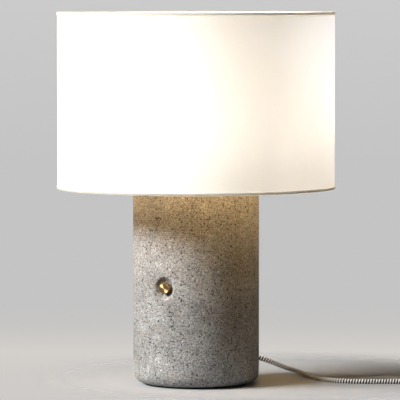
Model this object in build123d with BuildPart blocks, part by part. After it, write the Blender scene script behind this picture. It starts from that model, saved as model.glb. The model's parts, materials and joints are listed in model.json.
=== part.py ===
from build123d import *
import os
from math import asin, cos, degrees, pi, radians, sin, tan

# Table lamp: a cast concrete drum with a dimmer knob sunk in its front, a fabric drum
# shade carried by a harp, and a textile lead that leaves at the back.
# Millimetres. The origin is the bottom centre of the foot pad. +Z is up, -Y is the
# knob's side and +Y is the lead's side.

# Driving dimensions: the concrete drum
BASE_R = 80.7
BASE_TOP = 251.0
PAD_R = 66.0
PAD_T = 2.0
FOOT_FILLET = 14.5
TOP_FILLET = 4.0
CAVITY_R = 58.0
CAVITY_TOP = 233.0
REBATE_R = 61.0
REBATE_TOP = 8.0

# The dimmer behind the front wall
KNOB_Z = 128.0
KNOB_R = 7.05
DISH_FLOOR = 73.2        # distance of the dish's flat floor from the lamp's axis
DISH_FLOOR_R = 8.2
DISH_RIM_R = 14.2
POCKET_FLOOR = 66.5      # distance of the dimmer pocket's floor from the lamp's axis
CASE_SIDE = 38.0
CASE_WALL = 1.6
CASE_BACK = 44.0
SHAFT_R = 3.0
BUSHING_R = 3.9

# The pipe, socket and bulb
PIPE_R = 5.0
PIPE_BORE_R = 3.5
PIPE_LOW = PAD_T + 0.4
PIPE_TOP = 265.0
PIPE_SLOT_Z = 209.0      # centre of the side slot where the wires enter the pipe
THREAD_GAP = 0.05
SADDLE_Z = 254.0
SADDLE_HALF = 30.0
SADDLE_ARM_TOP = 275.0
STRAP_T = 1.6
SOCKET_Z = 259.0
SHELL_R = 16.8
SHELL_T = 0.6
SHELL_LOW = 278.0
SHELL_TOP = 316.0
BULB_TIP_Z = 289.6
BULB_CAP_LOW = 295.0
BULB_CAP_R = 12.4
DOME_R = 30.0
DOME_Z = 366.0
DOME_T = 1.2
NECK_Z = 354.0

# The harp and the shade
HARP_WIRE_R = 1.6
HARP_FOOT_Z = 275.2
HARP_TOP_Z = 455.4
SEAT_Z = 460.0
STUD_R = 3.1
SHADE_R = 178.0
SHADE_T = 0.8
SHADE_LOW = 251.0
SHADE_TOP = 477.0
RING_WIRE_R = 1.7
RING_R = 175.3
RING_INSET = 2.3         # from the shade's edge to its ring's centre
SPOKE_R = 1.5
TRIM_T = 0.5
TRIM_H = 4.0

# The textile lead
LEAD_R = 3.0
LEAD_Z = 27.0
OUTLET_Y = 102.0
COIL_X = 248.1
COIL_Y = 195.2
COIL_R = 42.0
COIL_HOLE_R = 24.0
COIL_LOW = 1.2
COIL_H = 16.4
TIE_T = 1.0
TIE_ANGLE = 150.0
PLUG_NECK = 18.0         # lengths along the plug, from the end of the lead
PLUG_SHOULDER = 26.0
PLUG_FACE = 44.0
BLADE_LENGTH = 17.0

# The free lead's route, from the outlet to the coil, then from the coil to the plug
LEAD_ROUTE = [
    (0.0, 102.0, 27.0), (0.0, 118.5, 27.0), (7.9, 133.4, 24.0), (21.8, 142.7, 19.0),
    (39.6, 142.7, 14.2), (59.7, 135.8, 10.0), (85.1, 123.7, 6.8), (112.1, 108.2, 4.0),
    (136.2, 94.8, 3.0), (162.5, 91.3, 3.0), (187.7, 101.0, 3.0), (213.3, 116.6, 3.0),
    (237.0, 129.4, 3.0), (252.8, 145.0, 3.4), (263.0, 159.5, 4.0),
]
TAIL_ROUTE = [
    (284.8, 181.9, 14.2), (289.5, 196.6, 12.4), (290.8, 212.9, 9.0), (288.3, 228.8, 7.0),
    (283.1, 243.1, 7.0),
]

FRONT = Plane(origin=(0, 0, KNOB_Z), x_dir=(1, 0, 0), z_dir=(0, -1, 0))
FRONT_AXIS = Axis((0, 0, KNOB_Z), (0, 1, 0))
FRONT_PROFILE = Plane(origin=(0, 0, KNOB_Z), x_dir=(1, 0, 0), z_dir=(0, 0, -1))
REAR = Plane(origin=(0, 0, LEAD_Z), x_dir=(-1, 0, 0), z_dir=(0, 1, 0))
REAR_AXIS = Axis((0, 0, LEAD_Z), (0, 1, 0))
REAR_PROFILE = Plane(origin=(0, 0, LEAD_Z), x_dir=(1, 0, 0), z_dir=(0, 0, 1))

os.makedirs("parts", exist_ok=True)


def save(builder, name):
    """Label a finished sub-part and write it out."""
    builder.part.label = name
    export_step(builder.part, f"parts/{name}.step")


def washer(name, outer, inner, low, high, plane=Plane.XY):
    """A flat ring between two distances along the plane's normal."""
    with BuildPart() as part:
        with BuildSketch(plane.offset(low)):
            Circle(outer)
            Circle(inner, mode=Mode.SUBTRACT)
        extrude(amount=high - low)
    save(part, name)


def hex_nut(name, across_corners, bore, low, high, plane=Plane.XY):
    """A six-sided nut between two distances along the plane's normal."""
    with BuildPart() as part:
        with BuildSketch(plane.offset(low)):
            RegularPolygon(across_corners / 2, 6)
            Circle(bore, mode=Mode.SUBTRACT)
        extrude(amount=high - low)
    save(part, name)


def turned(name, profile, plane=Plane.XZ, axis=Axis.Z):
    """A lathe-turned piece: corners as (radius, distance along the axis)."""
    with BuildPart() as part:
        with BuildSketch(plane):
            with BuildLine():
                Polyline(*profile, close=True)
            make_face()
        revolve(axis=axis)
    save(part, name)


def bend_radii(points):
    """The arc at each corner, as large as the corner's two runs allow."""
    places = [Vector(*point) for point in points]
    radii = []
    for before, here, after in zip(places, places[1:], places[2:]):
        turn = radians((here - before).get_angle(after - here))
        shorter = min((here - before).length, (after - here).length)
        radii.append(0.45 * shorter / tan(turn / 2))
    return radii


def tube(name, points, radius):
    """A round bar or cord along straight runs joined by tangent arcs."""
    radii = bend_radii(points)
    with BuildPart() as part:
        with BuildLine():
            route = FilletPolyline(*points, radius=radii)
        with BuildSketch(Plane(origin=route @ 0, z_dir=route % 0)):
            Circle(radius)
        sweep()
    save(part, name)
    ratio = part.part.volume / (pi * radius**2 * route.length)
    print(f"{name}: length {route.length:.1f}, volume over section x length {ratio:.4f},",
          "radii", " ".join(f"{value:.0f}" for value in radii))


# ---- Base: pad, concrete drum and what closes it from below ----

with BuildPart() as foot_pad:
    with BuildSketch():
        Circle(PAD_R)
    extrude(amount=PAD_T)
    fillet(foot_pad.edges().group_by(Axis.Z)[0], 0.5)
save(foot_pad, "foot_pad")

with BuildPart() as concrete_body:
    with BuildSketch(Plane.XY.offset(PAD_T)):
        Circle(BASE_R)
    extrude(amount=BASE_TOP - PAD_T)
    fillet(concrete_body.edges().group_by(Axis.Z)[0], FOOT_FILLET)
    fillet(concrete_body.edges().group_by(Axis.Z)[-1], TOP_FILLET)
    # The rebate takes the bottom plate, and the deck above the cavity carries the pipe
    with BuildSketch(Plane.XY.offset(PAD_T)):
        Circle(REBATE_R)
    extrude(amount=REBATE_TOP - PAD_T, mode=Mode.SUBTRACT)
    with BuildSketch(Plane.XY.offset(REBATE_TOP)):
        Circle(CAVITY_R)
    extrude(amount=CAVITY_TOP - REBATE_TOP, mode=Mode.SUBTRACT)
    with BuildSketch(Plane.XY.offset(CAVITY_TOP)):
        Circle(PIPE_R + 0.3)
    extrude(amount=BASE_TOP - CAVITY_TOP, mode=Mode.SUBTRACT)
    # The dish round the knob: a flat floor, a sloping wall and an open mouth
    with BuildSketch(FRONT_PROFILE) as dish:
        with BuildLine():
            Polyline(
                (0, DISH_FLOOR), (DISH_FLOOR_R, DISH_FLOOR), (DISH_RIM_R, BASE_R - 0.6),
                (DISH_RIM_R + 3, BASE_R + 3), (0, BASE_R + 3), close=True,
            )
        make_face()
        fillet(dish.vertices().sort_by(Axis.Y)[:2].sort_by(Axis.X)[-1], 2)
    revolve(axis=FRONT_AXIS, mode=Mode.SUBTRACT)
    # The dimmer's pocket and the hole for its bushing
    with BuildSketch(FRONT.offset(POCKET_FLOOR)):
        Rectangle(CASE_SIDE + 2, CASE_SIDE + 2)
    extrude(amount=-16, mode=Mode.SUBTRACT)
    with BuildSketch(FRONT.offset(POCKET_FLOOR)):
        Circle(5.5)
    extrude(amount=DISH_FLOOR - POCKET_FLOOR, mode=Mode.SUBTRACT)
    # The lead's hole and the spot face for its strain relief
    with BuildSketch(REAR.offset(CAVITY_R - 4)):
        Circle(5.4)
    extrude(amount=BASE_R, mode=Mode.SUBTRACT)
    with BuildSketch(REAR.offset(BASE_R - 1)):
        Circle(8.3)
    extrude(amount=10, mode=Mode.SUBTRACT)
save(concrete_body, "concrete_body")

washer("bottom_plate", REBATE_R - 0.3, PIPE_R + THREAD_GAP, REBATE_TOP - 2, REBATE_TOP)
washer("bottom_washer", 10, PIPE_R + THREAD_GAP, REBATE_TOP - 3, REBATE_TOP - 2)
hex_nut("bottom_nut", 16.2, PIPE_R + THREAD_GAP, PIPE_LOW, REBATE_TOP - 3)

with BuildPart() as lamp_pipe:
    with BuildSketch(Plane.XY.offset(PIPE_LOW)):
        Circle(PIPE_R)
        Circle(PIPE_BORE_R, mode=Mode.SUBTRACT)
    extrude(amount=PIPE_TOP - PIPE_LOW)
    with BuildSketch(Plane(origin=(0, 0, PIPE_SLOT_Z), x_dir=(1, 0, 0), z_dir=(0, -1, 0))):
        SlotOverall(14, 5.6, rotation=90)
    extrude(amount=PIPE_R + 1, mode=Mode.SUBTRACT)
save(lamp_pipe, "lamp_pipe")

# ---- On the deck: check ring, harp saddle and its nut ----

turned("check_ring", [
    (PIPE_R + THREAD_GAP, BASE_TOP), (19, BASE_TOP), (19, BASE_TOP + 1.2), (16.5, SADDLE_Z),
    (PIPE_R + THREAD_GAP, SADDLE_Z),
])

with BuildPart() as harp_saddle:
    with BuildSketch(Plane.XZ) as saddle_side:
        with Locations((0, SADDLE_Z)):
            Rectangle(2 * SADDLE_HALF + STRAP_T, SADDLE_ARM_TOP - SADDLE_Z,
                      align=(Align.CENTER, Align.MIN))
        fillet(saddle_side.vertices().group_by(Axis.Y)[0], 4)
        with Locations((0, SADDLE_Z + STRAP_T)):
            Rectangle(2 * SADDLE_HALF - STRAP_T, SADDLE_ARM_TOP - SADDLE_Z,
                      align=(Align.CENTER, Align.MIN), mode=Mode.SUBTRACT)
        fillet(saddle_side.vertices().filter_by_position(
            Axis.Y, SADDLE_Z + STRAP_T - 0.1, SADDLE_Z + STRAP_T + 0.1), 2.4)
    extrude(amount=6, both=True)
    with BuildSketch(Plane.XY.offset(SADDLE_Z)):
        Circle(PIPE_R + THREAD_GAP)
    extrude(amount=STRAP_T, mode=Mode.SUBTRACT)
    # Above its shoulders each arm narrows to go inside the sleeve
    with BuildSketch(Plane.XY.offset(SADDLE_Z + 10)):
        Rectangle(80, 20)
        Rectangle(80, 4, mode=Mode.SUBTRACT)
    extrude(amount=15, mode=Mode.SUBTRACT)
save(harp_saddle, "harp_saddle")

hex_nut("saddle_nut", 18, PIPE_R + THREAD_GAP, SADDLE_Z + STRAP_T, SOCKET_Z - 0.2)

# ---- Lamp socket ----

turned("socket_cap", [
    (PIPE_R + THREAD_GAP, SOCKET_Z), (8, SOCKET_Z), (8, 264), (SHELL_R, 270), (SHELL_R, SHELL_LOW),
    (SHELL_R - SHELL_T, SHELL_LOW), (SHELL_R - SHELL_T, 270.6), (8, 265.2),
    (PIPE_R + THREAD_GAP, 265.2),
])
turned("socket_shell", [
    (SHELL_R - SHELL_T, SHELL_LOW), (SHELL_R, SHELL_LOW), (SHELL_R, 282), (17.5, 283),
    (17.5, 284.4), (SHELL_R, 285.4), (SHELL_R, SHELL_TOP - 2), (17.4, SHELL_TOP - 1),
    (17.4, SHELL_TOP), (SHELL_R - SHELL_T, SHELL_TOP),
])
washer("socket_liner", SHELL_R - SHELL_T - 0.1, 15.4, SHELL_LOW + 0.2, SHELL_TOP - 1)

with BuildPart() as socket_core:
    with BuildSketch(Plane.XY.offset(274)):
        Circle(13.8)
        for side in (1, -1):
            with Locations((side * 15, 0)):
                Rectangle(8, 16, mode=Mode.SUBTRACT)
    extrude(amount=14)
save(socket_core, "socket_core")

washer("socket_screw_shell", 13.9, 13.4, 288, 313)
washer("socket_contact", 4, 1.2, 288, 289.2)

with BuildPart() as terminal_screws:
    for side in (1, -1):
        with BuildSketch(Plane(origin=(side * 11, 0, 280.6), z_dir=(side, 0, 0))):
            Circle(2.7)
        extrude(amount=2.2)
        with BuildSketch(Plane(origin=(side * 13.2, 0, 280.6), z_dir=(side, 0, 0))):
            Rectangle(0.6, 5.6)
        extrude(amount=-0.7, mode=Mode.SUBTRACT)
save(terminal_screws, "terminal_screws")

# ---- Bulb ----

THREAD_PITCH = 3.63
cap_crests = []
for turn in range(5):
    crest_z = BULB_CAP_LOW + 2 + turn * THREAD_PITCH
    cap_crests += [
        (BULB_CAP_R, crest_z - 1.2), (BULB_CAP_R + 0.6, crest_z - 0.3),
        (BULB_CAP_R + 0.6, crest_z + 0.3), (BULB_CAP_R, crest_z + 1.2),
    ]
turned("bulb_cap", [
    (12.0, BULB_CAP_LOW), (BULB_CAP_R, BULB_CAP_LOW), *cap_crests, (BULB_CAP_R, SHELL_TOP),
    (11.8, SHELL_TOP), (11.8, BULB_CAP_LOW + 0.2),
])
turned("bulb_insulator", [
    (0, 291), (4.5, 291), (11.6, BULB_CAP_LOW), (11.6, BULB_CAP_LOW + 2), (0, BULB_CAP_LOW + 2),
])
turned("bulb_contact", [(0, BULB_TIP_Z), (3, BULB_TIP_Z), (4.2, 290.6), (4.2, 291), (0, 291)])

with BuildPart() as bulb_body:
    with BuildSketch(Plane.XZ):
        with BuildLine():
            Spline((13.4, SHELL_TOP), (16.8, 327), (24.6, 342), (28.3, NECK_Z))
            Line((28.3, NECK_Z), (26.6, NECK_Z))
            Spline((26.6, NECK_Z), (22.9, 343), (15.2, 328.4), (11.8, SHELL_TOP))
            Line((11.8, SHELL_TOP), (13.4, SHELL_TOP))
        make_face()
    revolve(axis=Axis.Z)
save(bulb_body, "bulb_body")

with BuildPart() as bulb_driver:
    with BuildSketch(Plane.XY.offset(322)):
        RectangleRounded(15, 15, 2)
    extrude(amount=28)
save(bulb_driver, "bulb_driver")

washer("bulb_led_plate", 25.6, 2, 352.2, 353.8)

with BuildPart() as bulb_dome:
    with BuildSketch(Plane.XZ):
        with BuildLine():
            outer_low = degrees(asin((DOME_Z - NECK_Z) / DOME_R))
            outer = CenterArc((0, DOME_Z), DOME_R, -outer_low, 90 + outer_low)
            inner_low = degrees(asin((DOME_Z - NECK_Z) / (DOME_R - DOME_T)))
            inner = CenterArc((0, DOME_Z), DOME_R - DOME_T, -inner_low, 90 + inner_low)
            Line(outer @ 0, inner @ 0)
            Line(outer @ 1, inner @ 1)
        make_face()
    revolve(axis=Axis.Z)
save(bulb_dome, "bulb_dome")

# ---- Harp ----

harp_half = [
    (SADDLE_HALF, HARP_FOOT_Z), (SADDLE_HALF, 314), (53.2, 352), (53.2, 408), (41, 441),
    (20, HARP_TOP_Z),
]
harp_points = [(x, 0, z) for x, z in harp_half] + [(-x, 0, z) for x, z in reversed(harp_half)]
tube("harp_wire", harp_points, HARP_WIRE_R)

with BuildPart() as harp_seat:
    with BuildSketch(Plane.XY.offset(HARP_TOP_Z - 2.4)):
        Circle(8)
    extrude(amount=SEAT_Z - HARP_TOP_Z + 2.4)
    fillet(harp_seat.edges().group_by(Axis.Z)[0], 1)
    with BuildSketch(Plane.XY.offset(SEAT_Z)):
        Circle(STUD_R)
    extrude(amount=10.6)
    chamfer(harp_seat.edges().group_by(Axis.Z)[-1], 0.6)
    with BuildSketch(Plane(origin=(-9, 0, HARP_TOP_Z), z_dir=(1, 0, 0))):
        Circle(HARP_WIRE_R + 0.02)
    extrude(amount=18, mode=Mode.SUBTRACT)
save(harp_seat, "harp_seat")

for name, side in (("harp_sleeve_left", -1), ("harp_sleeve_right", 1)):
    leg = Plane(origin=(side * SADDLE_HALF, 0, 0), x_dir=(1, 0, 0), z_dir=(0, -1, 0))
    turned(name, [
        (2.6, 264), (4.2, 264), (4.2, 279), (3.4, 284), (2.0, 284), (2.0, 277), (2.6, 277),
    ], leg, Axis((side * SADDLE_HALF, 0, 0), (0, 0, 1)))

# ---- Shade: sheet, trims, rings and spider ----

washer("shade_fabric", SHADE_R, SHADE_R - SHADE_T, SHADE_LOW + TRIM_T, SHADE_TOP - TRIM_T)
for name, edge, inward in (("shade_trim_top", SHADE_TOP, -1), ("shade_trim_bottom", SHADE_LOW, 1)):
    turned(name, [
        (SHADE_R - SHADE_T, edge), (SHADE_R + TRIM_T, edge), (SHADE_R + TRIM_T, edge + inward * TRIM_H),
        (SHADE_R, edge + inward * TRIM_H), (SHADE_R, edge + inward * TRIM_T),
        (SHADE_R - SHADE_T, edge + inward * TRIM_T),
    ])

RING_TOP_Z = SHADE_TOP - RING_INSET
RING_LOW_Z = SHADE_LOW + RING_INSET
for name, height in (("shade_ring_top", RING_TOP_Z), ("shade_ring_bottom", RING_LOW_Z)):
    with BuildPart() as ring:
        with BuildSketch(Plane.XZ):
            with Locations((RING_R, height)):
                Circle(RING_WIRE_R)
        revolve(axis=Axis.Z)
    save(ring, name)

washer("spider_hub", 11, STUD_R + 0.4, SEAT_Z, SEAT_Z + 2)

with BuildPart() as spider_spokes:
    for angle in (90, 210, 330):
        spoke = Plane.XZ.rotated((0, 0, angle))
        bends = [(9.4, SEAT_Z + 1), (148, SEAT_Z + 1), (163, 470.6), (RING_R - 0.6, RING_TOP_Z)]
        corners = [spoke.from_local_coords(Vector(x, z)) for x, z in bends]
        with BuildLine():
            route = FilletPolyline(*corners, radius=bend_radii(corners))
        with BuildSketch(Plane(origin=route @ 0, z_dir=route % 0)):
            Circle(SPOKE_R)
        sweep()
save(spider_spokes, "spider_spokes")

FINIAL_R = 5.9
FINIAL_Z = 469.1
NECK_DROP = 3.9
with BuildPart() as finial:
    with BuildSketch(Plane.XZ):
        with BuildLine():
            start = degrees(asin(NECK_DROP / FINIAL_R))
            ball = CenterArc((0, FINIAL_Z), FINIAL_R, -start, 90 + start)
            Polyline((STUD_R + 0.08, 462), (6.6, 462), (6.6, 463.2), (4.9, 464), ball @ 0)
            Polyline(ball @ 1, (0, 471.4), (STUD_R + 0.08, 471.4), (STUD_R + 0.08, 462))
        make_face()
    revolve(axis=Axis.Z)
save(finial, "finial")

# ---- Dimmer: case, board and its components, potentiometer, fixings and knob ----

with BuildPart() as dimmer_case:
    with BuildSketch(FRONT.offset(CASE_BACK)):
        RectangleRounded(CASE_SIDE, CASE_SIDE, 2)
    extrude(amount=POCKET_FLOOR - CASE_BACK)
    with BuildSketch(FRONT.offset(CASE_BACK)):
        Rectangle(CASE_SIDE - 2 * CASE_WALL, CASE_SIDE - 2 * CASE_WALL)
    extrude(amount=POCKET_FLOOR - CASE_WALL - CASE_BACK, mode=Mode.SUBTRACT)
    with BuildSketch(FRONT.offset(POCKET_FLOOR - CASE_WALL)):
        Circle(BUSHING_R + THREAD_GAP)
    extrude(amount=CASE_WALL, mode=Mode.SUBTRACT)
    # Holes for the lead below and for the two wires above
    with BuildSketch(Plane.XY.offset(KNOB_Z - CASE_SIDE / 2)):
        with Locations((10, -49.3)):
            Circle(LEAD_R + 0.1)
    extrude(amount=CASE_WALL, mode=Mode.SUBTRACT)
    with BuildSketch(Plane.XY.offset(KNOB_Z + CASE_SIDE / 2)):
        with Locations((0, -49)):
            Rectangle(5.4, 3)
    extrude(amount=-CASE_WALL, mode=Mode.SUBTRACT)
save(dimmer_case, "dimmer_case")

with BuildPart() as dimmer_cover:
    with BuildSketch(FRONT.offset(CASE_BACK - CASE_WALL)):
        RectangleRounded(CASE_SIDE, CASE_SIDE, 2)
    extrude(amount=CASE_WALL)
save(dimmer_cover, "dimmer_cover")

BOARD_FRONT = 55.0
with BuildPart() as dimmer_board:
    with BuildSketch(FRONT.offset(BOARD_FRONT - 1.6)):
        Rectangle(33, 33)
    extrude(amount=1.6)
save(dimmer_board, "dimmer_board")

BOARD_BACK = BOARD_FRONT - 1.6
with BuildPart() as dimmer_choke:
    with BuildSketch(FRONT.offset(BOARD_BACK)):
        with Locations((-8.5, 8)):
            Circle(6.8)
            Circle(2.6, mode=Mode.SUBTRACT)
    extrude(amount=-5)
    fillet(dimmer_choke.edges(), 1.6)
save(dimmer_choke, "dimmer_choke")

for name, place, size, depth in (
    ("dimmer_capacitor", (10, 8), (7, 13), 6.6),
    ("dimmer_triac", (-8, -7), (10, 9), 4.6),
):
    with BuildPart() as component:
        with BuildSketch(FRONT.offset(BOARD_BACK)):
            with Locations(place):
                RectangleRounded(size[0], size[1], 0.8)
        extrude(amount=-depth)
    save(component, name)

POT_FRONT = POCKET_FLOOR - CASE_WALL - 1.0
turned("dimmer_pot", [
    (0, BOARD_FRONT), (8, BOARD_FRONT), (8, POT_FRONT), (SHAFT_R + 0.2, POT_FRONT),
    (SHAFT_R + 0.2, POT_FRONT - 0.6), (7.4, POT_FRONT - 0.6), (7.4, BOARD_FRONT + 0.6),
    (0, BOARD_FRONT + 0.6),
], FRONT_PROFILE, FRONT_AXIS)
turned("dimmer_bushing", [
    (SHAFT_R + THREAD_GAP, POT_FRONT), (6.4, POT_FRONT), (6.4, POCKET_FLOOR - CASE_WALL),
    (BUSHING_R, POCKET_FLOOR - CASE_WALL), (BUSHING_R, 76.3), (SHAFT_R + THREAD_GAP, 76.3),
], FRONT_PROFILE, FRONT_AXIS)
washer("dimmer_washer", 6.9, BUSHING_R + THREAD_GAP, DISH_FLOOR, DISH_FLOOR + 0.7, FRONT)
hex_nut("dimmer_nut", 11.6, BUSHING_R + THREAD_GAP, DISH_FLOOR + 0.7, DISH_FLOOR + 2.9, FRONT)
turned("dimmer_wiper", [(SHAFT_R + 0.02, 58), (6, 58), (6, 59), (SHAFT_R + 0.02, 59)],
       FRONT_PROFILE, FRONT_AXIS)
turned("knob_shaft", [(0, 56.5), (SHAFT_R, 56.5), (SHAFT_R, 79.2), (SHAFT_R - 0.3, 79.5), (0, 79.5)],
       FRONT_PROFILE, FRONT_AXIS)

KNOB_FACE = 81.8
SCREW_AT = 78.3
with BuildPart() as knob:
    with BuildSketch(FRONT_PROFILE):
        with BuildLine():
            Polyline(
                (0, KNOB_FACE), (KNOB_R - 0.6, KNOB_FACE), (KNOB_R, KNOB_FACE - 0.6),
                (KNOB_R, DISH_FLOOR + 1), (6.3, DISH_FLOOR + 1), (6.3, 76.7),
                (SHAFT_R + 0.03, 76.7), (SHAFT_R + 0.03, 79.6), (0, 79.6), close=True,
            )
        make_face()
    revolve(axis=FRONT_AXIS)
    with BuildSketch(Plane(origin=(0, -SCREW_AT, KNOB_Z), z_dir=(0, 0, -1))):
        Circle(1)
    extrude(amount=KNOB_R + 1, mode=Mode.SUBTRACT)
save(knob, "knob")

with BuildPart() as knob_screw:
    with BuildSketch(Plane(origin=(0, -SCREW_AT, KNOB_Z - SHAFT_R - 0.1), z_dir=(0, 0, -1))):
        Circle(0.95)
    extrude(amount=3.4)
    with BuildSketch(Plane(origin=(0, -SCREW_AT, KNOB_Z - SHAFT_R - 3.5), z_dir=(0, 0, -1))):
        RegularPolygon(0.45, 6)
    extrude(amount=-1.2, mode=Mode.SUBTRACT)
save(knob_screw, "knob_screw")

# ---- Wiring inside the lamp ----

tube("cord_inner", [
    (0, OUTLET_Y, LEAD_Z), (0, 36, LEAD_Z), (20, 14, LEAD_Z + 2), (20, -24, LEAD_Z + 10),
    (10, -49.3, 62), (10, -49.3, 112),
], LEAD_R)

for name, side in (("wire_live", 1), ("wire_neutral", -1)):
    tube(name, [
        (side * 1.25, -49, 143), (side * 1.25, -49, 172), (side * 1.25, -27, 196),
        (side * 1.25, -6, 206), (side * 1.25, 0, 218), (side * 1.25, 0, 270.2),
        (side * 12.3, 0, 272.0), (side * 13.3, 0, 277.4),
    ], 1.1)

# ---- Strain relief, lead, coil, tie and plug ----

SPOT_Y = BASE_R - 1
turned("strain_relief", [
    (LEAD_R + THREAD_GAP, 57), (5.3, 57), (5.3, SPOT_Y), (8, SPOT_Y), (8, SPOT_Y + 1.8),
    (7.2, SPOT_Y + 2.6), (6.0, SPOT_Y + 2.6), (4.2, OUTLET_Y), (LEAD_R + THREAD_GAP, OUTLET_Y),
], REAR_PROFILE, REAR_AXIS)

tube("cord_lead", LEAD_ROUTE, LEAD_R)
tube("cord_tail", TAIL_ROUTE, LEAD_R)

with BuildPart() as cord_coil:
    with BuildSketch(Plane.XY.offset(COIL_LOW)):
        with Locations((COIL_X, COIL_Y)):
            Circle(COIL_R)
            Circle(COIL_HOLE_R, mode=Mode.SUBTRACT)
    extrude(amount=COIL_H)
    fillet(cord_coil.edges().filter_by(GeomType.CIRCLE), 4.5)
save(cord_coil, "cord_coil")

radial = (cos(radians(TIE_ANGLE)), sin(radians(TIE_ANGLE)), 0)
across = (-sin(radians(TIE_ANGLE)), cos(radians(TIE_ANGLE)), 0)
tie_plane = Plane(origin=(COIL_X, COIL_Y, COIL_LOW + COIL_H / 2), x_dir=radial, z_dir=across)
with BuildPart() as cord_tie:
    with BuildSketch(tie_plane):
        with Locations(((COIL_R + COIL_HOLE_R) / 2 - 0.3, 0)):
            RectangleRounded(COIL_R - COIL_HOLE_R + 1 + 2 * TIE_T, COIL_H + 0.4 + 2 * TIE_T, 4.5)
            RectangleRounded(COIL_R - COIL_HOLE_R + 1, COIL_H + 0.4, 3.5, mode=Mode.SUBTRACT)
    extrude(amount=4.5, both=True)
save(cord_tie, "cord_tie")

PLUG_AT = Vector(*TAIL_ROUTE[-1])
heading = PLUG_AT - Vector(*TAIL_ROUTE[-2])
plug_dir = Vector(heading.X, heading.Y, 0).normalized()
plug_plane = Plane(origin=PLUG_AT, x_dir=(-plug_dir.Y, plug_dir.X, 0), z_dir=plug_dir)
with BuildPart() as plug_body:
    with BuildSketch(plug_plane):
        Circle(3.7)
    with BuildSketch(plug_plane.offset(PLUG_NECK)):
        Circle(5)
    loft()
    with BuildSketch(plug_plane.offset(PLUG_NECK)):
        RectangleRounded(14, 10.4, 4.5)
    with BuildSketch(plug_plane.offset(PLUG_SHOULDER)):
        RectangleRounded(24, 14, 4.5)
    loft()
    with BuildSketch(plug_plane.offset(PLUG_SHOULDER)):
        RectangleRounded(24, 14, 4.5)
    extrude(amount=PLUG_FACE - PLUG_SHOULDER)
save(plug_body, "plug_body")

with BuildPart() as plug_blades:
    with BuildSketch(plug_plane.offset(PLUG_FACE)):
        with Locations((-6.35, 0), (6.35, 0)):
            Rectangle(1.5, 6.3)
    extrude(amount=BLADE_LENGTH)
    blade_hole = plug_plane.offset(PLUG_FACE + BLADE_LENGTH - 4).origin
    with BuildSketch(Plane(origin=blade_hole, z_dir=plug_plane.x_dir)):
        Circle(1.6)
    extrude(amount=10, both=True, mode=Mode.SUBTRACT)
save(plug_blades, "plug_blades")
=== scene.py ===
import bpy
import json
from math import atan2, cos, pi, radians, sin, sqrt
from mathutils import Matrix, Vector


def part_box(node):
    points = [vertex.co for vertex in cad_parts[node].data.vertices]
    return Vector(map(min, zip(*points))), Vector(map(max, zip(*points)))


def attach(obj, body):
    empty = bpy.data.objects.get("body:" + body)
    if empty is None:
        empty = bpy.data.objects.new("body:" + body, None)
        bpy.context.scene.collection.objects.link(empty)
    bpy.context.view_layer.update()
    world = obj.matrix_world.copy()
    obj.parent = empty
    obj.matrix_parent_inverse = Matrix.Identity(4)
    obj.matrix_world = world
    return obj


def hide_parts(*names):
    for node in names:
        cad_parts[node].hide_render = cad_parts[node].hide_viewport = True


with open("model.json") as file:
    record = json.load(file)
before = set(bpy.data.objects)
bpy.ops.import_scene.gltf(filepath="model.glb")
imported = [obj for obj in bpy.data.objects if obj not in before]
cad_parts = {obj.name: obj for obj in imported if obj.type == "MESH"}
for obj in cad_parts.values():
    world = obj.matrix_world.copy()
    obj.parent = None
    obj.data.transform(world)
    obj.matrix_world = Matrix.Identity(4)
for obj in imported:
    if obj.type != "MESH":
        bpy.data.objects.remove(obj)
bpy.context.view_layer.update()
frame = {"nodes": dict(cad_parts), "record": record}   # nodes and record

scene = bpy.context.scene
nodes = frame["nodes"]

# ---- Sizes from the frame, in metres -------------------------------------------
base_low, base_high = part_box("concrete_body")
BASE_R = (base_high.x - base_low.x) / 2
BASE_LOW, BASE_TOP = base_low.z, base_high.z
shade_low, shade_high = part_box("shade_fabric")
SHADE_R = (shade_high.x - shade_low.x) / 2
knob_low, knob_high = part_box("knob")
KNOB_Z = (knob_low.z + knob_high.z) / 2

# ---- Camera --------------------------------------------------------------------
VIEW_AZIMUTH = radians(30.0)
VIEW_RIGHT = Vector((cos(VIEW_AZIMUTH), sin(VIEW_AZIMUTH), 0))
VIEW_AWAY = Vector((-sin(VIEW_AZIMUTH), cos(VIEW_AZIMUTH), 0))
CAMERA_DISTANCE = 4.541
CAMERA_HEIGHT = 0.507
AIM_RIGHT = 0.005
AIM_HEIGHT = 0.236
LENS = 319.5

# ---- Drum ----------------------------------------------------------------------
FOOT_FILLET = 0.0145
TOP_FILLET = 0.004
BORE_R = 0.0053
HOLLOW_R = 0.058
HOLLOW_TOP = 0.233
PLATE_SEAT_R = 0.061
PLATE_SEAT_TOP = 0.008
DISH_FLOOR = 0.0732         # distance of the dish's floor from the lamp's axis
DISH_FLOOR_R = 0.0078
DISH_SLOPE = 1.15
DISH_FLOOR_SOFTNESS = 0.003
DISH_LIP_SOFTNESS = 0.0022
DISH_REACH = 0.022          # the dish lies within this distance of the knob's axis
DRUM_FACE_R = 0.079         # only rows wider than this are on the outer face
FOOT_STEPS, TOP_STEPS = 12, 6
# The mesh is fine within a reach of the knob and coarse elsewhere: rows in metres, columns
# in degrees
ROW_COARSE, ROW_FINE, ROW_FINE_REACH = 0.0028, 0.00045, 0.018
ROW_MARGIN = 0.002          # the last row stays this far below the top fillet
COLUMN_COARSE, COLUMN_FINE, COLUMN_FINE_REACH = 1.35, 0.32, 13.5
CREASE_ANGLE = 40           # degrees

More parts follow.
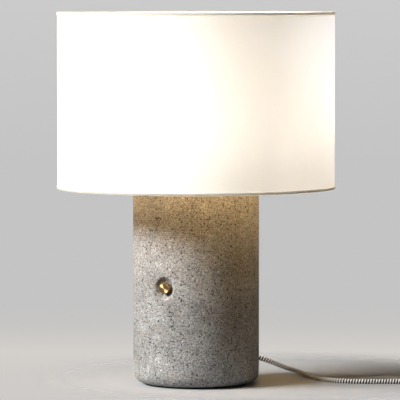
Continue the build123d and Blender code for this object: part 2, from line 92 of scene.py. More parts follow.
# ---- Shade ---------------------------------------------------------------------
SHEET_LAP = 0.012
SHEET_FLAT_LENGTH = 2 * pi * SHADE_R + SHEET_LAP
SHEET_INSET = 0.0006
SHEET_COLUMNS, SHEET_ROWS = 320, 20
LAP_RISE = 0.0005           # how far the upper layer of the lap stands out
LAP_RISE_ANGLE = 0.04       # radians over which it does
TRIM_OUT, TRIM_IN = 0.0002, 0.0014      # the trim's flaps, out and in from the shade's radius
TRIM_DEPTH = 0.004
TRIM_FOLD_WIDTH, TRIM_FOLD_HEIGHT = 0.0005, 0.0006
TRIM_STEPS = 256

# ---- Lead ----------------------------------------------------------------------
LEAD_R = 0.003
LEAD_ROUTE = [
    (0.0000, 0.1020, 0.0270), (0.0000, 0.1185, 0.0270), (0.0079, 0.1334, 0.0240),
    (0.0218, 0.1427, 0.0190), (0.0367, 0.1470, 0.0136), (0.0556, 0.1460, 0.0088),
    (0.0814, 0.1342, 0.0056), (0.1082, 0.1155, 0.0034), (0.1336, 0.0988, 0.0030),
    (0.1590, 0.0932, 0.0030), (0.1877, 0.1010, 0.0030), (0.2133, 0.1166, 0.0030),
    (0.2370, 0.1294, 0.0030), (0.2528, 0.1450, 0.0034), (0.2630, 0.1595, 0.0040),
]
TAIL_ROUTE = [
    (0.2848, 0.1819, 0.0142), (0.2895, 0.1966, 0.0124), (0.2908, 0.2129, 0.0090),
    (0.2883, 0.2288, 0.0070), (0.2831, 0.2431, 0.0070),
]
COIL_CENTRE = Vector((0.2481, 0.1952, 0))
COIL_POINTS_A_TURN = 15
# Radius and height at the start of each turn, then at the end of the last
COIL_TURNS = [
    (0.0386, 0.0042), (0.0321, 0.0042), (0.0261, 0.0042), (0.0290, 0.0094), (0.0350, 0.0094),
    (0.0321, 0.0146), (0.0380, 0.0146), (0.0390, 0.0142),
]
# Where in a turn the coil begins to rise and to move across, and over how much of the turn
COIL_RISE = (0.45, 0.40)
COIL_CROSSING = (0.62, 0.38)
LEAD_SPACING = 0.0022
LEAD_SIDES = 16
BRAID_PITCH = 0.0036
BRAID_YARNS = 4.0           # yarns of the other hand to one stripe

# ---- Colours and looks -----------------------------------------------------------
BLOTCH_SHIFT = (0.0, 0.0, 0.13)
CONCRETE_DARK = (0.221, 0.220, 0.216)
CONCRETE_LIGHT = (0.350, 0.349, 0.344)
CONCRETE_WARM = (0.286, 0.248, 0.221)
CONCRETE_WANDER = 0.0016    # how far the grains' outlines stray, in metres
GRAIN_SEED_SHIFT = (0.013, 0.007, 0.011)    # each seed's shift of the pattern, in metres
GRAIN_VARIATION = 0.45      # how much smaller than its reach a grain can be, in cells
# Grains: colour, strength, then cell size in metres, share of cells that hold a grain, the
# grain's reach in its cell, the softness of its edge, and a seed
PALE_STONES = ((0.432, 0.430, 0.418), 0.38, (0.015, 0.55, 0.36, 0.10, 3))
FINE_GRAINS = ((0.075, 0.071, 0.068), 0.50, (0.0020, 0.42, 0.36, 0.14, 5))
BLACK_GRAINS = ((0.016, 0.015, 0.014), 0.93, (0.0026, 0.40, 0.42, 0.10, 7))
WHITE_GRAINS = ((0.72, 0.70, 0.67), 0.72, (0.0042, 0.12, 0.30, 0.06, 11))
CLOTH_DARK, CLOTH_LIGHT = (0.74, 0.725, 0.70), (0.80, 0.79, 0.77)
SHADE_LINING = (0.70, 0.56, 0.34)
SHADE_GLOW = (0.63, 0.72, 0.90)
SHADE_THROUGH = 0.24        # share of the light that goes through the sheet
LAP_THROUGH = 0.46          # the same for each of the lap's two layers
TRIM_DARK, TRIM_LIGHT = (0.88, 0.86, 0.82), (0.95, 0.93, 0.89)
TRIM_GLOW = (0.98, 0.96, 0.93)
TRIM_THROUGH = 0.9
BRAID_BLACK, BRAID_WHITE = (0.008, 0.008, 0.009), (0.95, 0.94, 0.92)
BULB_OPAL = (1.0, 0.95, 0.86)
BULB_COLOUR = (1.0, 0.83, 0.61)
BULB_STRENGTH = 20.0

# Brass, by slot: colour, roughness, axis of the tool rings, how strongly they stretch the
# shine, and how far round they turn it. The finial's slot is knob_brass, but its rings lie
# about another axis.
BRASSES = {
    "knob_brass": ((0.46, 0.318, 0.15), 0.30, "Y", 1.0, 0.125),
    "finial_brass": ((0.47, 0.32, 0.14), 0.30, "Z", 0.4, 0.0),
    "brass": ((0.80, 0.60, 0.30), 0.28, "Z", 0.4, 0.0),
    "socket_brass": ((0.78, 0.60, 0.32), 0.30, "Z", 0.4, 0.0),
}
# Moulded, painted and plated materials, by slot
PLAINS = {
    "foot_pad": dict(colour=(0.02, 0.02, 0.02), rough=0.85, bump=0.3),
    "zinc_steel": dict(colour=(0.62, 0.62, 0.60), rough=0.32, metallic=1.0),
    "harp_nickel": dict(colour=(0.68, 0.65, 0.60), rough=0.25, metallic=1.0),
    "fibre_sleeve": dict(colour=(0.40, 0.28, 0.18), rough=0.8, bump=0.3),
    "porcelain": dict(colour=(0.86, 0.85, 0.81), rough=0.15),
    "cap_aluminium": dict(colour=(0.78, 0.78, 0.78), rough=0.3, metallic=1.0),
    "black_plastic": dict(colour=(0.02, 0.02, 0.02), rough=0.45),
    "circuit_board": dict(colour=(0.04, 0.20, 0.09), rough=0.4),
    "copper_winding": dict(colour=(0.50, 0.20, 0.08), rough=0.3, metallic=0.6),
    "capacitor_film": dict(colour=(0.50, 0.38, 0.06), rough=0.3),
    "black_rubber": dict(colour=(0.02, 0.02, 0.02), rough=0.7, bump=0.2),
    "wire_insulation": dict(colour=(0.05, 0.05, 0.06), rough=0.4),
    "cord_tie": dict(colour=(0.03, 0.03, 0.03), rough=0.9, grain=900, bump=0.8),
    "plug_plastic": dict(colour=(0.02, 0.02, 0.021), rough=0.5, bump=0.25),
    "blade_metal": dict(colour=(0.76, 0.70, 0.52), rough=0.25, metallic=1.0),
    "screw_steel": dict(colour=(0.25, 0.25, 0.26), rough=0.35, metallic=1.0),
    "white_enamel": dict(colour=(0.84, 0.84, 0.82), rough=0.3),
    "bulb_shell": dict(colour=(0.84, 0.84, 0.82), rough=0.3),
}

# ---- Stage and light -------------------------------------------------------------
STAGE_COLOUR = (0.430, 0.445, 0.465)
STAGE_HALF = 2
FADE_CENTRE = VIEW_RIGHT * 0.10 + VIEW_AWAY * 0.08
FADE_START, FADE_END = 0.17, 0.36       # distances from the fade's centre
# The background by the height of the line of sight, from the lowest to the horizon and up
BACKDROP_LOWEST = -0.12
BACKDROP = [
    (0.0, (0.615, 0.592, 0.574)), (0.10, (0.630, 0.602, 0.582)), (0.15, (0.655, 0.628, 0.600)),
    (0.18, (0.612, 0.592, 0.570)), (0.215, (0.568, 0.560, 0.550)), (0.26, (0.552, 0.552, 0.550)),
    (0.60, (0.552, 0.552, 0.550)), (1.0, (0.600, 0.600, 0.600)),
]
MIRRORED = 0.6              # strength of the background in reflections
SOFTBOX_COLOUR = (1.0, 0.985, 0.96)
SOFTBOX_AIM = Vector((0, 0, 0.2))
# Power in watts, width, height and distance, then right, away and up toward the light
KEY = (545.0, 3.0, 1.15, 5.0, (-0.806, -0.318, 0.5))
LEAD_FILL = (2.0, 0.5, 0.5, 1.0, (0.5, -0.6, 0.65))
BULB_POWER = 16.8
BULB_LIGHT_R = 0.045
BULB_LIGHT_DROP = 0.012     # its centre, below the foot of the dome


def make_camera():
    """A long lens in front of the lamp and to its right, a little above its top."""
    data = bpy.data.cameras.new("camera")
    data.lens = LENS
    data.sensor_width = 36
    data.clip_end = 100
    camera = bpy.data.objects.new("camera", data)
    scene.collection.objects.link(camera)
    aim = VIEW_RIGHT * AIM_RIGHT + Vector((0, 0, AIM_HEIGHT))
    camera.location = VIEW_RIGHT * AIM_RIGHT - VIEW_AWAY * CAMERA_DISTANCE
    camera.location.z = CAMERA_HEIGHT
    camera.rotation_mode = "QUATERNION"
    camera.rotation_quaternion = (aim - camera.location).to_track_quat("-Z", "Y")
    scene.camera = camera


# ---- Small tools for meshes --------------------------------------------------------
def new_mesh(name, verts, faces, uvs=None):
    """A smooth mesh object; uvs, if given, holds one (u, v) for each corner of each face."""
    mesh = bpy.data.meshes.new(name)
    mesh.from_pydata(verts, [], faces)
    if uvs is not None:
        layer = mesh.uv_layers.new(name="UVMap")
        flat = [value for corner in uvs for value in corner]
        layer.data.foreach_set("uv", flat)
    mesh.polygons.foreach_set("use_smooth", [True] * len(mesh.polygons))
    mesh.update()
    piece = bpy.data.objects.new(name, mesh)
    scene.collection.objects.link(piece)
    return piece


def lathe_strip(name, profile, steps):
    """Spins an open line of (radius, height) corners about the lamp's axis."""
    verts = [(radius * cos(2 * pi * step / steps), radius * sin(2 * pi * step / steps), height)
             for radius, height in profile for step in range(steps)]
    faces = []
    for row in range(len(profile) - 1):
        low, high = row * steps, (row + 1) * steps
        for step in range(steps):
            after = (step + 1) % steps
            faces.append((low + step, low + after, high + after, high + step))
    return new_mesh(name, verts, faces)


def mark_sharp(piece, angle):
    """Corners sharper than this many degrees stay crisp."""
    bpy.context.view_layer.objects.active = piece
    piece.select_set(True)
    piece.data.set_sharp_from_angle(angle=radians(angle))
    piece.select_set(False)


def wear(piece, material):
    """Gives a piece one material."""
    piece.data.materials.clear()
    piece.data.materials.append(material)


def finish_piece(piece, body, slot_name, *replaced):
    """Puts a new piece on its body, in its slot's material, for the CAD nodes it replaces."""
    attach(piece, body)
    wear(piece, M[slot_name])
    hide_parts(*replaced)


def smooth_least(a, b, softness):
    """The lesser of two lengths, rounded where they cross."""
    blend = max(softness - abs(a - b), 0) / softness
    return min(a, b) - blend * blend * softness / 4


def eased(part):
    """0 to 1 with a slow start and end."""
    part = min(1.0, max(0.0, part))
    return part * part * (3 - 2 * part)


# ---- Small tools for materials -------------------------------------------------------
class Nodes:
    """A short way to write the node tree of a material or a world."""

    def __init__(self, owner):
        owner.use_nodes = True
        self.owner = owner
        self.tree = owner.node_tree
        self.shader = self.tree.nodes.get("Principled BSDF")

    def put(self, value, socket):
        """Gives a socket a link, a number or a colour."""
        if hasattr(value, "is_output"):
            self.tree.links.new(value, socket)
        elif isinstance(value, (int, float)):
            socket.default_value = value
        else:
            socket.default_value = (*value, 1)

    def add(self, kind, **values):
        node = self.tree.nodes.new(kind)
        for key, value in values.items():
            if key in node.inputs.keys():
                node.inputs[key].default_value = value
            else:
                setattr(node, key, value)
        return node

    def set_shader(self, **values):
        for key, value in values.items():
            self.put(value, self.shader.inputs[key.replace("_", " ")])

    def surface(self, output):
        kind = "World Output" if self.shader is None else "Material Output"
        self.put(output, self.tree.nodes[kind].inputs["Surface"])

    def position(self):
        return self.add("ShaderNodeTexCoord").outputs["Object"]

    def mapped(self, vector, **values):
        node = self.add("ShaderNodeMapping", **values)
        self.put(vector, node.inputs["Vector"])
        return node.outputs["Vector"]

    def split(self, vector):
        node = self.add("ShaderNodeSeparateXYZ")
        self.put(vector, node.inputs[0])
        return node.outputs

    def noise(self, vector, scale, detail=2.0, roughness=0.5, output="Fac"):
        node = self.add("ShaderNodeTexNoise", Scale=scale, Detail=detail, Roughness=roughness)
        self.put(vector, node.inputs["Vector"])
        return node.outputs[output]

    def ramp(self, value, *stops):
        """stops are (position, grey or colour)."""
        node = self.add("ShaderNodeValToRGB")
        elements = node.color_ramp.elements
        while len(elements) < len(stops):
            elements.new(0.5)
        for element, (position, colour) in zip(elements, stops):
            element.position = position
            if isinstance(colour, (int, float)):
                colour = (colour, colour, colour)
            element.color = (*colour, 1)
        self.put(value, node.inputs["Fac"])
        return node.outputs["Color"]

    def mix(self, factor, first, second, blend="MIX"):
        node = self.add("ShaderNodeMix", data_type="RGBA", blend_type=blend)
        for socket, value in ((0, factor), (6, first), (7, second)):
            self.put(value, node.inputs[socket])
        return node.outputs[2]

    def mix_shaders(self, factor, first, second):
        node = self.add("ShaderNodeMixShader")
        for socket, value in enumerate((factor, first, second)):
            self.put(value, node.inputs[socket])
        return node.outputs[0]

    def math(self, operation, first, second=0.0):
        node = self.add("ShaderNodeMath", operation=operation)
        for socket, value in enumerate((first, second)):
            self.put(value, node.inputs[socket])
        return node.outputs[0]

    def bump(self, height, strength, distance):
        node = self.add("ShaderNodeBump", Strength=strength, Distance=distance)
        self.put(height, node.inputs["Height"])
        self.put(node.outputs["Normal"], self.shader.inputs["Normal"])

    def let_light_through(self, colour, share):
        glow = self.add("ShaderNodeBsdfTranslucent")
        self.put(colour, glow.inputs["Color"])
        self.surface(self.mix_shaders(share, self.shader.outputs[0], glow.outputs[0]))


def new_material(name):
    return Nodes(bpy.data.materials.new(name))


def dimmed(colour, factor):
    return tuple(value * factor for value in colour)


# ---- Materials -------------------------------------------------------------------------
def grain_mask(n, place, size, share, reach, softness, seed):
    """Where scattered grains lie."""
    shifted = n.mapped(place, Location=[seed * shift for shift in GRAIN_SEED_SHIFT])
    cells = n.add("ShaderNodeTexVoronoi", Scale=1 / size, Randomness=1.0)
    n.put(shifted, cells.inputs["Vector"])
    pick = n.add("ShaderNodeSeparateColor")
    n.put(cells.outputs["Color"], pick.inputs[0])
    chosen = n.ramp(pick.outputs[0], (1 - share - 0.01, 0.0), (1 - share + 0.01, 1.0))
    shrink = n.math("MULTIPLY", pick.outputs[1], GRAIN_VARIATION)
    spread = n.math("ADD", cells.outputs["Distance"], shrink)
    near = n.ramp(spread, (reach, 1.0), (reach + softness, 0.0))
    return n.math("MULTIPLY", chosen, near)


def with_grains(n, place, base, kind):
    """The colour with one kind of grain laid on it, and the grains' mask."""
    colour, strength, measures = kind
    mask = grain_mask(n, place, *measures)
    return n.mix(n.math("MULTIPLY", mask, strength), base, colour), mask


def concrete_material():
    """Cast concrete, ground smooth: black and white grains and pale stones in blotchy grey."""
    n = new_material("concrete")
    place = n.position()
    centred = n.add("ShaderNodeVectorMath", operation="SUBTRACT")
    n.put(n.noise(place, 700.0, output="Color"), centred.inputs[0])
    centred.inputs[1].default_value = (0.5, 0.5, 0.5)
    small = n.add("ShaderNodeVectorMath", operation="SCALE", Scale=CONCRETE_WANDER)
    n.put(centred.outputs[0], small.inputs[0])
    wandered = n.add("ShaderNodeVectorMath", operation="ADD")
    n.put(place, wandered.inputs[0])
    n.put(small.outputs[0], wandered.inputs[1])
    warped = wandered.outputs[0]

    blotch = n.noise(n.mapped(place, Location=BLOTCH_SHIFT), 26, 3, 0.6)
    base = n.ramp(blotch, (0.32, CONCRETE_DARK), (0.68, CONCRETE_LIGHT))
    warm = n.noise(place, 48, 2, 0.5)
    base = n.mix(n.ramp(warm, (0.54, 0.0), (0.68, 0.45)), base, CONCRETE_WARM)
    base, _ = with_grains(n, warped, base, PALE_STONES)
    speckle = n.ramp(n.noise(place, 520, 2, 0.75), (0.38, 0.52), (0.62, 1.46))
    base = n.mix(1.0, base, speckle, "MULTIPLY")
    base, _ = with_grains(n, warped, base, FINE_GRAINS)
    base, black = with_grains(n, warped, base, BLACK_GRAINS)
    base, _ = with_grains(n, warped, base, WHITE_GRAINS)
    rough = n.ramp(n.noise(place, 300, 3), (0.3, 0.66), (0.7, 0.82))
    n.set_shader(Base_Color=base, Roughness=rough, Specular_IOR_Level=0.3)
    pores = n.math("SUBTRACT", n.noise(place, 520, 4, 0.6), n.math("MULTIPLY", black, 0.5))
    n.bump(pores, 0.30, 0.0005)
    return n.owner


def brass_material(name, colour, rough, rings_axis, stretch, turn):
    """Turned brass with fine tool rings about an axis."""
    n = new_material(name)
    place = n.position()
    tint = n.ramp(n.noise(place, 90, 3), (0.3, colour), (0.7, dimmed(colour, 0.94)))
    shine = n.ramp(n.noise(place, 60, 2), (0.3, rough), (0.7, rough + 0.03))
    tangent = n.add("ShaderNodeTangent", direction_type="RADIAL", axis=rings_axis)
    n.set_shader(Metallic=1.0, Base_Color=tint, Roughness=shine, Tangent=tangent.outputs[0],
                 Anisotropic=stretch, Anisotropic_Rotation=turn)
    return n.owner


def plain_material(name, colour, rough, metallic=0.0, grain=200, bump=0.1):
    """Moulded, painted or plated material with slight unevenness in colour and gloss."""
    n = new_material(name)
    place = n.position()
    tint = n.ramp(n.noise(place, grain * 0.3, 3), (0.3, dimmed(colour, 0.88)), (0.7, colour))
    shine = n.ramp(n.noise(place, grain, 3), (0.3, rough), (0.7, min(1.0, rough + 0.12)))
    n.set_shader(Metallic=metallic, Base_Color=tint, Roughness=shine)
    n.bump(n.noise(place, grain * 4, 3), bump, 0.0002)
    return n.owner


def shade_material():
    """Woven sheet that lets light through, with a warmer lining on its inner face."""
    n = new_material("shade_fabric")
    uv = n.add("ShaderNodeUVMap").outputs[0]
    warp, weft = (n.noise(n.mapped(uv, Scale=scale), 1.0, 2, 0.6)
                  for scale in ((420, 6000, 1), (6000, 420, 1)))
    weave = n.math("ADD", n.math("MULTIPLY", warp, 0.5), n.math("MULTIPLY", weft, 0.5))
    cloth = n.ramp(weave, (0.38, CLOTH_DARK), (0.62, CLOTH_LIGHT))
    inner_face = n.add("ShaderNodeNewGeometry").outputs["Backfacing"]
    n.set_shader(Base_Color=n.mix(inner_face, cloth, SHADE_LINING), Roughness=0.9)
    n.bump(weave, 0.35, 0.0004)
    through = n.ramp(weave, (0.38, dimmed(SHADE_GLOW, 0.93)), (0.62, SHADE_GLOW))
    along = n.split(uv)[0]
    in_lap = n.math("MAXIMUM", n.math("LESS_THAN", along, SHEET_LAP),
                    n.math("GREATER_THAN", along, SHEET_FLAT_LENGTH - SHEET_LAP))
    more = n.math("MULTIPLY", in_lap, LAP_THROUGH - SHADE_THROUGH)
    n.let_light_through(through, n.math("ADD", more, SHADE_THROUGH))
    return n.owner


def trim_material():
    """Fabric tape that lets most of the light through."""
    n = new_material("shade_trim")
    place = n.position()
    tint = n.ramp(n.noise(place, 600, 3), (0.3, TRIM_DARK), (0.7, TRIM_LIGHT))
    n.set_shader(Base_Color=tint, Roughness=0.9)
    n.bump(n.noise(place, 2600, 3), 0.4, 0.0003)
    n.let_light_through(TRIM_GLOW, TRIM_THROUGH)
    return n.owner


def braid_material():
    """Black and white yarns braided round the lead, with painted shade in the grooves between the
    yarns; u goes round it, and v along it in metres."""
    n = new_material("textile_cord")
    round_it, along, _ = n.split(n.add("ShaderNodeUVMap").outputs[0])
    turns = n.math("DIVIDE", along, BRAID_PITCH)
    left = n.math("FRACT", n.math("ADD", turns, round_it))
    crossing = n.math("MULTIPLY", n.math("SUBTRACT", turns, round_it), BRAID_YARNS)
    right = n.math("FRACT", crossing)
    stripe = n.ramp(left, (0.54, 0.0), (0.58, 1.0), (0.96, 1.0), (1.0, 0.0))
    yarn = n.ramp(right, (0.0, 0.2), (0.25, 1.0), (0.75, 1.0), (1.0, 0.2))
    colour = n.mix(stripe, BRAID_BLACK, BRAID_WHITE)
    # Painted shade: the grooves between the yarns are darkened a quarter of the way to black
    painted_groove_shade = n.math("MULTIPLY", n.math("SUBTRACT", 1.0, yarn), 0.25)
    n.set_shader(Base_Color=n.mix(painted_groove_shade, colour, BRAID_BLACK), Roughness=0.85,
                 Sheen_Weight=0.2)
    n.bump(yarn, 0.6, 0.0004)
    return n.owner


def bulb_material():
    """Opal dome, lit."""
    n = new_material("bulb_opal")
    n.set_shader(Base_Color=BULB_OPAL, Roughness=0.45, Emission_Color=BULB_COLOUR,
                 Emission_Strength=BULB_STRENGTH)
    return n.owner


def make_materials():
    """Every material, by its slot's name."""
    made = {
        "concrete": concrete_material(),
        "textile_cord": braid_material(),
        "shade_fabric": shade_material(),
        "shade_trim": trim_material(),
        "bulb_opal": bulb_material(),
    }
    for name, look in BRASSES.items():
        made[name] = brass_material(name, *look)
    for name, look in PLAINS.items():
        made[name] = plain_material(name, **look)
    return made


def dress_cad_nodes():
    """Every carried-over node takes the material of its record slot."""
    slots = {part["node"]: part["material_slot"] for part in frame["record"]["subparts"]}
    for name, piece in nodes.items():
        wear(piece, M[slots[name]])
    wear(nodes["finial"], M["finial_brass"])


# ---- Concrete drum -----------------------------------------------------------------------
def dish_depth(rho):
    """Distance from the lamp's axis of the dish's wall, rho away from the knob's axis."""
    rise = (rho - DISH_FLOOR_R) * DISH_SLOPE
    wall = -smooth_least(0, -rise, DISH_FLOOR_SOFTNESS)
    return DISH_FLOOR + max(wall, 0)


def drum_profile():
    """(radius, height) up the outside, with the fine rows the dish needs, and down the
    inside."""
    points = []
    for step in range(FOOT_STEPS + 1):
        angle = pi / 2 * step / FOOT_STEPS
        points.append((BASE_R - FOOT_FILLET * (1 - sin(angle)),
                       BASE_LOW + FOOT_FILLET * (1 - cos(angle))))
    height = BASE_LOW + FOOT_FILLET
    while height < BASE_TOP - TOP_FILLET - ROW_MARGIN:
        near = abs(height - KNOB_Z) < ROW_FINE_REACH
        height += ROW_FINE if near else ROW_COARSE
        points.append((BASE_R, height))
    for step in range(TOP_STEPS + 1):
        angle = pi / 2 * step / TOP_STEPS
        points.append((BASE_R - TOP_FILLET * (1 - cos(angle)),
                       BASE_TOP - TOP_FILLET * (1 - sin(angle))))
    return points + [
        (BORE_R, BASE_TOP), (BORE_R, HOLLOW_TOP), (HOLLOW_R, HOLLOW_TOP),
        (HOLLOW_R, PLATE_SEAT_TOP), (PLATE_SEAT_R, PLATE_SEAT_TOP), (PLATE_SEAT_R, BASE_LOW),
    ]


def drum_angles():
    """Columns round the drum, close together in front where the dish is."""
    angles = []
    angle = -180.0
    while angle < 180.0 - 1e-6:
        angles.append(radians(angle - 90.0))
        near = abs(angle) < COLUMN_FINE_REACH
        angle += COLUMN_FINE if near else COLUMN_COARSE
    return angles


def make_drum():
    """The concrete drum, spun from its profile, with the knob's dish pressed into its front."""
    profile = drum_profile()
    angles = drum_angles()
    steps = len(angles)
    verts = []
    for radius, height in profile:
        for angle in angles:
            x, y = radius * cos(angle), radius * sin(angle)
            if y < 0 and abs(x) < DISH_REACH and radius > DRUM_FACE_R:
                rho = sqrt(x * x + (height - KNOB_Z) ** 2)
                if rho < DISH_REACH:
                    y = -smooth_least(-y, dish_depth(rho), DISH_LIP_SOFTNESS)
            verts.append((x, y, height))
    faces = []
    for row in range(len(profile)):
        after = (row + 1) % len(profile)
        for step in range(steps):
            side = (step + 1) % steps
            faces.append((row * steps + step, row * steps + side,
                          after * steps + side, after * steps + step))
    drum = new_mesh("drum", verts, faces)
    mark_sharp(drum, CREASE_ANGLE)
    finish_piece(drum, "base", "concrete", "concrete_body")


# ---- Shade ---------------------------------------------------------------------------------
def make_trim(name, node, top):
    """Tape folded over one edge of the shade, as an open strip."""
    low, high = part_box(node)
    edge, inward = (high.z, -1) if top else (low.z, 1)
    flap_out, flap_in = SHADE_R + TRIM_OUT, SHADE_R - TRIM_IN
    flap_end, fold = edge + inward * TRIM_DEPTH, edge + inward * TRIM_FOLD_HEIGHT
    profile = [
        (flap_in, flap_end), (flap_in, fold), (flap_in + TRIM_FOLD_WIDTH, edge),
        (flap_out - TRIM_FOLD_WIDTH, edge), (flap_out, fold), (flap_out, flap_end),
    ]
    if not top:
        profile.reverse()
    trim = lathe_strip(name, profile, TRIM_STEPS)
    finish_piece(trim, "shade", "shade_trim", node)
    return trim


def make_shade():
    """The sheet round its rings, lapped at the back, and its two trims."""
    low, high = shade_low.z, shade_high.z
    lap_angle = SHEET_LAP / SHADE_R
    total = 2 * pi + lap_angle
    verts, faces, uvs = [], [], []
    for column in range(SHEET_COLUMNS + 1):
        swept = total * (column / SHEET_COLUMNS)
        angle = pi / 2 - lap_angle / 2 + swept
        past = (swept - (2 * pi - LAP_RISE_ANGLE)) / LAP_RISE_ANGLE
        out = SHADE_R - SHEET_INSET + LAP_RISE * min(1.0, max(0.0, past))
        for row in range(SHEET_ROWS + 1):
            height = low + (high - low) * row / SHEET_ROWS
            verts.append((out * cos(angle), out * sin(angle), height))
    for column in range(SHEET_COLUMNS):
        u0, u1 = (total * SHADE_R * c / SHEET_COLUMNS for c in (column, column + 1))
        for row in range(SHEET_ROWS):
            a = column * (SHEET_ROWS + 1) + row
            b = a + SHEET_ROWS + 1
            faces.append((a, b, b + 1, a + 1))
            v0, v1 = ((high - low) * r / SHEET_ROWS for r in (row, row + 1))
            uvs += [(u0, v0), (u1, v0), (u1, v1), (u0, v1)]
    sheet = new_mesh("shade_sheet", verts, faces, uvs)
    finish_piece(sheet, "shade", "shade_fabric", "shade_fabric")
    trims = [make_trim("trim_top", "shade_trim_top", True),
             make_trim("trim_bottom", "shade_trim_bottom", False)]


# ---- Lead ------------------------------------------------------------------------------------
def coil_points():
    """The coil's turns, from where the lead joins it to where its tail leaves."""
    start = Vector(LEAD_ROUTE[-1]) - COIL_CENTRE
    end = Vector(TAIL_ROUTE[0]) - COIL_CENTRE
    first, last = atan2(start.y, start.x), atan2(end.y, end.x)
    turns = len(COIL_TURNS) - 1
    sweep = 2 * pi * turns + (last - first) % (2 * pi)
    count = round(sweep / (2 * pi) * COIL_POINTS_A_TURN)
    points = []
    for index in range(1, count):
        progress = index / count
        angle = first + sweep * progress
        stage = progress * turns
        turn = min(int(stage), turns - 1)
        across, up = (eased((stage - turn - begin) / extent)
                      for begin, extent in (COIL_CROSSING, COIL_RISE))
        (radius, height), (next_radius, next_height) = COIL_TURNS[turn:turn + 2]
        radius = radius * (1 - across) + next_radius * across
        height = height * (1 - up) + next_height * up
        points.append((COIL_CENTRE.x + radius * cos(angle),
                       COIL_CENTRE.y + radius * sin(angle), height))
    return points


def lead_line():
    """The lead's smooth line, as points read from its NURBS spline."""
    curve = bpy.data.curves.new("lead_line", "CURVE")
    curve.dimensions = "3D"
    curve.resolution_u = 10
    spline = curve.splines.new("NURBS")
    route = LEAD_ROUTE + coil_points() + TAIL_ROUTE
    spline.points.add(len(route) - 1)
    for point, place in zip(spline.points, route):
        point.co = (*place, 1)
    spline.order_u = 3
    spline.use_endpoint_u = True
    line = bpy.data.objects.new("lead_line", curve)
    scene.collection.objects.link(line)
    mesh = bpy.data.meshes.new_from_object(line)
    points = [vertex.co.copy() for vertex in mesh.vertices]
    bpy.data.objects.remove(line)
    bpy.data.meshes.remove(mesh)
    return points


def resample(points, spacing):
    """Points at even distances along a line."""
    total = sum((b - a).length for a, b in zip(points, points[1:]))
    count = max(2, round(total / spacing))
    result = [points[0].copy()]
    walked, goal, index = 0.0, total / count, 0
    while len(result) < count:
        step = (points[index + 1] - points[index]).length
        if walked + step >= goal * len(result):
            t = (goal * len(result) - walked) / step
            result.append(points[index].lerp(points[index + 1], t))
        else:
            walked += step
            index += 1
    result.append(points[-1].copy())
    return result


def make_lead():
    """A closed tube along the lead's line, with u round it and v along it in metres."""
    line = resample(lead_line(), LEAD_SPACING)
    sides = LEAD_SIDES
    verts, faces, uvs = [], [], []
    normal = Vector((0, 0, 1))
    length = 0.0
    lengths = []
    for index, place in enumerate(line):
        ahead = line[min(index + 1, len(line) - 1)] - line[max(index - 1, 0)]
        tangent = ahead.normalized()
        normal = (normal - tangent * normal.dot(tangent)).normalized()
        side = tangent.cross(normal)
        for step in range(sides):
            angle = 2 * pi * step / sides
            verts.append(place + (normal * cos(angle) + side * sin(angle)) * LEAD_R)
        if index:
            length += (place - line[index - 1]).length
        lengths.append(length)
    for index in range(len(line) - 1):
        here, ahead = index * sides, (index + 1) * sides
        v0, v1 = lengths[index], lengths[index + 1]
        for step in range(sides):
            after = (step + 1) % sides
            faces.append((here + step, here + after, ahead + after, ahead + step))
            u0, u1 = step / sides, (step + 1) / sides
            uvs += [(u0, v0), (u1, v0), (u1, v1), (u0, v1)]
    last = (len(line) - 1) * sides
    faces += [tuple(range(sides)), tuple(range(last + sides - 1, last - 1, -1))]
    uvs += [(0, 0)] * sides + [(0, lengths[-1])] * sides
    lead = new_mesh("lead", verts, faces, uvs)
    finish_piece(lead, "base", "textile_cord", "cord_lead", "cord_coil", "cord_tail")
    return lead


# ---- Stage and light ---------------------------------------------------------------------------
def make_stage():
    """A floor that fades out round the lamp, into the background."""
    n = new_material("stage")
    n.set_shader(Base_Color=STAGE_COLOUR, Roughness=0.9)
    distance = n.add("ShaderNodeVectorMath", operation="DISTANCE")
    n.put(n.position(), distance.inputs[0])
    distance.inputs[1].default_value = FADE_CENTRE
    fade = n.add("ShaderNodeMapRange", interpolation_type="SMOOTHSTEP")
    fade.inputs["From Min"].default_value = FADE_START
    fade.inputs["From Max"].default_value = FADE_END
    n.put(distance.outputs["Value"], fade.inputs["Value"])
    clear = n.add("ShaderNodeBsdfTransparent").outputs[0]
    n.surface(n.mix_shaders(fade.outputs[0], n.shader.outputs[0], clear))
    corners = [(x * STAGE_HALF, y * STAGE_HALF, 0)
               for x, y in ((-1, -1), (1, -1), (1, 1), (-1, 1))]
    floor = new_mesh("floor", corners, [(0, 1, 2, 3)])
    wear(floor, n.owner)
    return floor


def make_world():
    """A plain studio background for the camera, weaker in reflections, which lights nothing
    else."""
    world = bpy.data.worlds.new("world")
    scene.world = world
    n = Nodes(world)
    level = n.add("ShaderNodeMapRange")
    level.inputs["From Min"].default_value = BACKDROP_LOWEST
    level.inputs["From Max"].default_value = 0.0
    direction = n.add("ShaderNodeTexCoord").outputs["Generated"]
    n.put(n.split(direction)[2], level.inputs["Value"])
    seen = n.tree.nodes["Background"]
    seen.inputs["Strength"].default_value = 1.0
    n.put(n.ramp(level.outputs[0], *BACKDROP), seen.inputs["Color"])
    dark = n.add("ShaderNodeBackground", Strength=0.0)
    path = n.add("ShaderNodeLightPath").outputs
    mirrored = n.math("MULTIPLY", path["Is Glossy Ray"], MIRRORED)
    either = n.math("MAXIMUM", path["Is Camera Ray"], mirrored)
    n.surface(n.mix_shaders(either, dark.outputs[0], seen.outputs[0]))


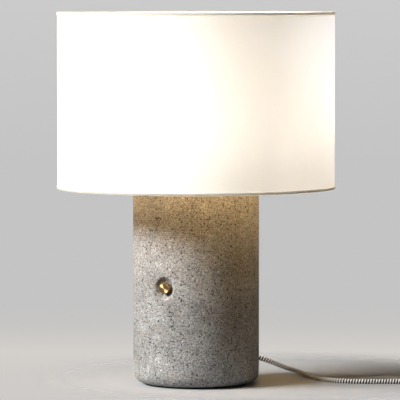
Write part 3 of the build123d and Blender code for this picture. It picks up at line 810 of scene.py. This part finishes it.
def light_group(name, pieces, state):
    """A set of pieces that a light, or its shadow, takes in or leaves out."""
    group = bpy.data.collections.new(name)
    for piece in pieces:
        group.objects.link(piece)
    for member in group.collection_objects:
        member.light_linking.link_state = state
    return group


def add_light(name, light, power, colour):
    """Puts a light in the scene; the camera doesn't see its shape."""
    light.energy = power
    light.color = colour
    lamp = bpy.data.objects.new(name, light)
    scene.collection.objects.link(lamp)
    lamp.visible_camera = False
    return lamp


def make_softbox(name, power, width, height, distance, direction):
    """A flat light that shines at the lamp from a direction given in the camera's frame."""
    light = bpy.data.lights.new(name, "AREA")
    light.shape = "RECTANGLE"
    light.size = width
    light.size_y = height
    box = add_light(name, light, power, SOFTBOX_COLOUR)
    right, away, up = direction
    toward = (VIEW_RIGHT * right + VIEW_AWAY * away + Vector((0, 0, up))).normalized()
    box.location = toward * distance + SOFTBOX_AIM
    box.rotation_mode = "QUATERNION"
    box.rotation_quaternion = (-toward).to_track_quat("-Z", "Y")
    return box


def make_bulb_light(floor):
    """The bulb's light, as a ball that takes in the whole bulb. It leaves the floor alone, and
    the shade's rings cast no shadow of it."""
    light = bpy.data.lights.new("bulb_light", "POINT")
    light.shadow_soft_size = BULB_LIGHT_R
    ball = add_light("bulb_light", light, BULB_POWER, BULB_COLOUR)
    ball.location = (0, 0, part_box("bulb_dome")[0].z - BULB_LIGHT_DROP)
    rings = [nodes["shade_ring_top"], nodes["shade_ring_bottom"]]
    linking = ball.light_linking
    linking.receiver_collection = light_group("unlit_by_bulb", [floor], "EXCLUDE")
    linking.blocker_collection = light_group("no_shadow_of_rings", rings, "EXCLUDE")


def make_lights(floor, lead):
    make_softbox("key", *KEY)
    make_bulb_light(floor)
    # A weak light on the lead alone, so that its braid reads in the lamp's shadow
    fill = make_softbox("lead_fill", *LEAD_FILL)
    fill.light_linking.receiver_collection = light_group("lit_by_lead_fill", [lead], "INCLUDE")


make_camera()
M = make_materials()
dress_cad_nodes()
make_drum()
make_shade()
lead = make_lead()
floor = make_stage()
make_world()
make_lights(floor, lead)
scene.view_settings.view_transform = "Standard"
